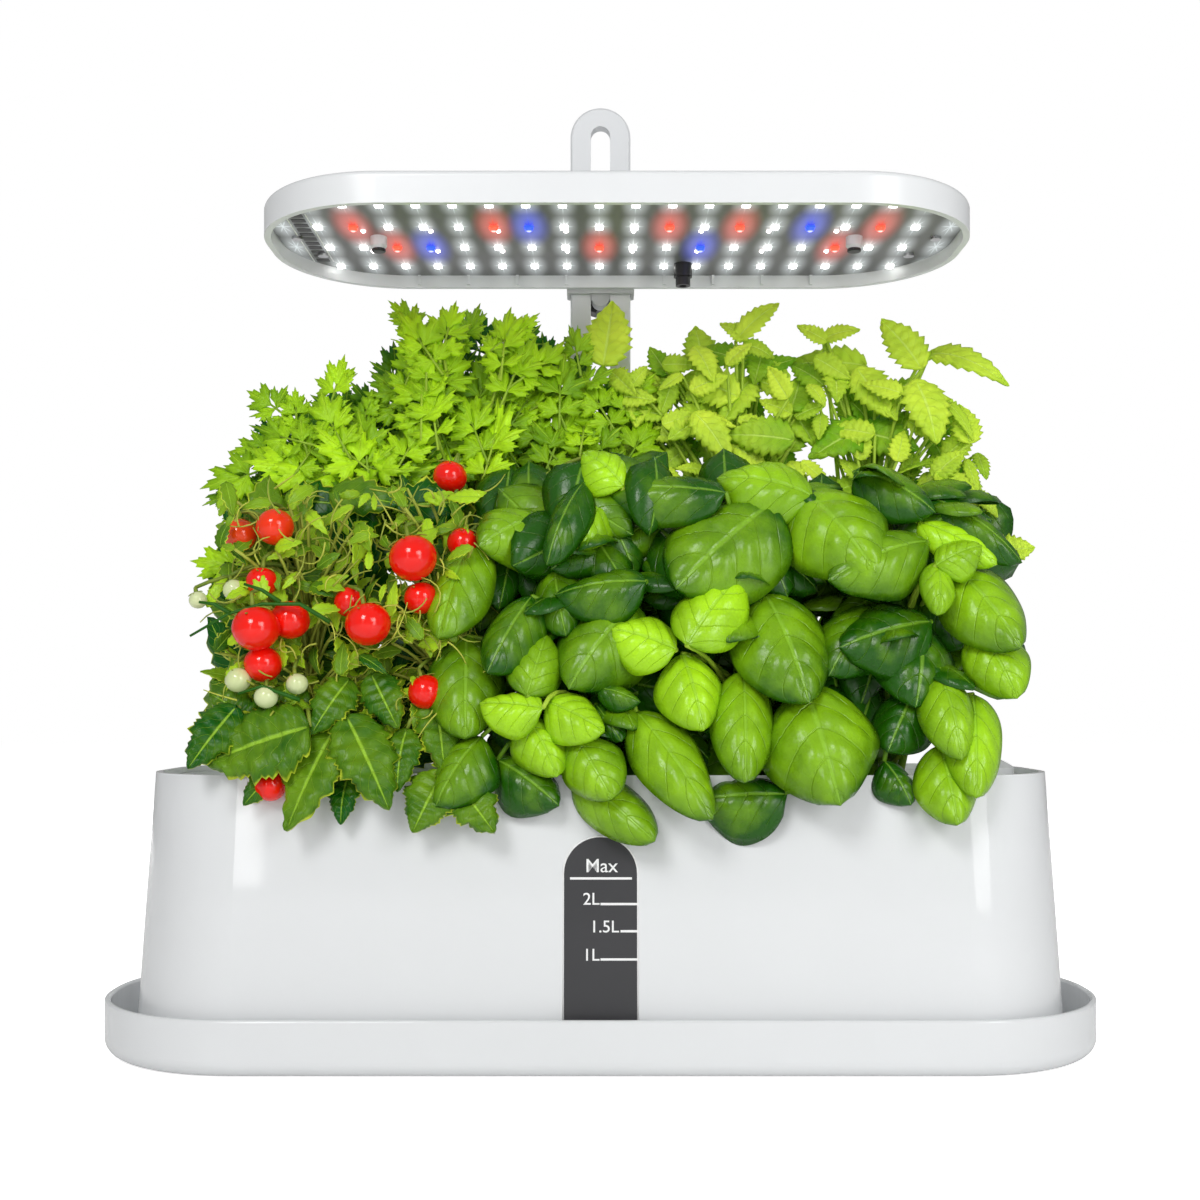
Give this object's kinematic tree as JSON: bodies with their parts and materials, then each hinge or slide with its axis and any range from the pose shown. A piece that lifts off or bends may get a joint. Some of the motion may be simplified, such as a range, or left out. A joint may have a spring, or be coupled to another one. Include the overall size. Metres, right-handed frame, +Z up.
{
  "type": "countertop hydroponic garden",
  "caption": "Tabletop hydroponic planter: drip tray, water tank with level window, planting deck with net cups and plants, and a lamp head that slides on a slotted mast.",
  "frame": {"origin": "on the table, under the middle of the drip tray", "axes": "+X to the right seen from the front, +Y from the front to the back, +Z up along the mast"},
  "size_m": [0.3888, 0.1362, 0.389],
  "materials": {
    "white_shell": "smooth white moulded plastic",
    "smoke_window": "dark smoked plastic",
    "rubber_feet": "soft feet",
    "sponge": "brown peat sponge",
    "steel": "plain steel",
    "mast_metal": "white powder coat",
    "board_metal": "grey metal-core board",
    "led_white": "lit white chip",
    "led_red": "lit red chip",
    "led_blue": "lit blue chip",
    "led_small": "small lit chip",
    "black_plastic": "black moulded plastic",
    "grey_plastic": "grey moulded plastic",
    "basket_plastic": "white net cups",
    "white_button": "soft white button",
    "leaf_green": "living leaves and stems"
  },
  "bodies": {
    "tray": {"drip_tray": "white_shell"},
    "tank": {"water_tank": "white_shell", "level_window": "smoke_window", "tank_feet": "rubber_feet", "pump_body": "black_plastic", "pump_cover": "black_plastic", "pump_shaft": "steel", "pump_spout": "black_plastic"},
    "impeller": {"pump_impeller": "black_plastic"},
    "deck": {"balm_1": "leaf_green", "balm_2": "leaf_green", "basil_1": "leaf_green", "basil_2": "leaf_green", "basil_3": "leaf_green", "basket_1": "basket_plastic", "basket_10": "basket_plastic", "basket_2": "basket_plastic", "basket_3": "basket_plastic", "basket_4": "basket_plastic", "basket_5": "basket_plastic", "basket_6": "basket_plastic", "basket_7": "basket_plastic", "basket_8": "basket_plastic", "basket_9": "basket_plastic", "grow_deck": "white_shell", "grow_sponges": "sponge", "inlet_pin": "steel", "mast": "mast_metal", "mast_socket": "white_shell", "parsley_1": "leaf_green", "parsley_2": "leaf_green", "parsley_3": "leaf_green", "socket_screws": "steel", "tomato_1": "leaf_green", "tomato_2": "leaf_green"},
    "inlet_cover": {"inlet_cover": "white_shell"},
    "lamp": {"lamp_housing": "white_shell", "led_board": "board_metal", "leds_white": "led_white", "leds_red": "led_red", "leds_blue": "led_blue", "leds_small": "led_small", "board_screws": "steel", "lamp_posts": "white_shell", "dc_jack": "black_plastic", "button_switches": "black_plastic", "lamp_bracket": "grey_plastic", "bracket_screws": "steel", "clamp_stud": "steel"},
    "knob": {"clamp_knob": "black_plastic"},
    "light_key": {"light_button": "white_button"},
    "pump_key": {"pump_button": "white_button"}
  },
  "joints": [
    {"name": "tank_lift", "type": "slide", "parent": "tray", "child": "tank", "axis": [0, 0, 1], "range_m": [0, 0.06]},
    {"name": "deck_lift", "type": "slide", "parent": "tank", "child": "deck", "axis": [0, 0, 1], "range_m": [0, 0.11]},
    {"name": "cover_hinge", "type": "hinge", "parent": "deck", "child": "inlet_cover", "pos_m": [0.1475, 0.021, 0.1072], "axis": [-1, 0, 0], "range_deg": [0, 100]},
    {"name": "impeller_spin", "type": "hinge", "parent": "tank", "child": "impeller", "pos_m": [-0.13, 0, 0.0184], "axis": [1, 0, 0], "continuous": true},
    {"name": "lamp_slide", "type": "slide", "parent": "deck", "child": "lamp", "axis": [0, 0, 1], "range_m": [-0.12, 0.05], "deforming": ["balm_1", "balm_2", "basil_1", "basil_2", "basil_3", "parsley_1", "parsley_2", "parsley_3", "tomato_1", "tomato_2"]},
    {"name": "knob_turn", "type": "hinge", "parent": "lamp", "child": "knob", "pos_m": [0, 0.0525, 0.3155], "axis": [0, 1, 0], "continuous": true},
    {"name": "light_press", "type": "slide", "parent": "lamp", "child": "light_key", "axis": [0, 0, -1], "range_m": [0, 0.0008], "stiffness_N_per_m": 300, "springref_m": -0.0008},
    {"name": "pump_press", "type": "slide", "parent": "lamp", "child": "pump_key", "axis": [0, 0, -1], "range_m": [0, 0.0008], "stiffness_N_per_m": 300, "springref_m": -0.0008}
  ]
}
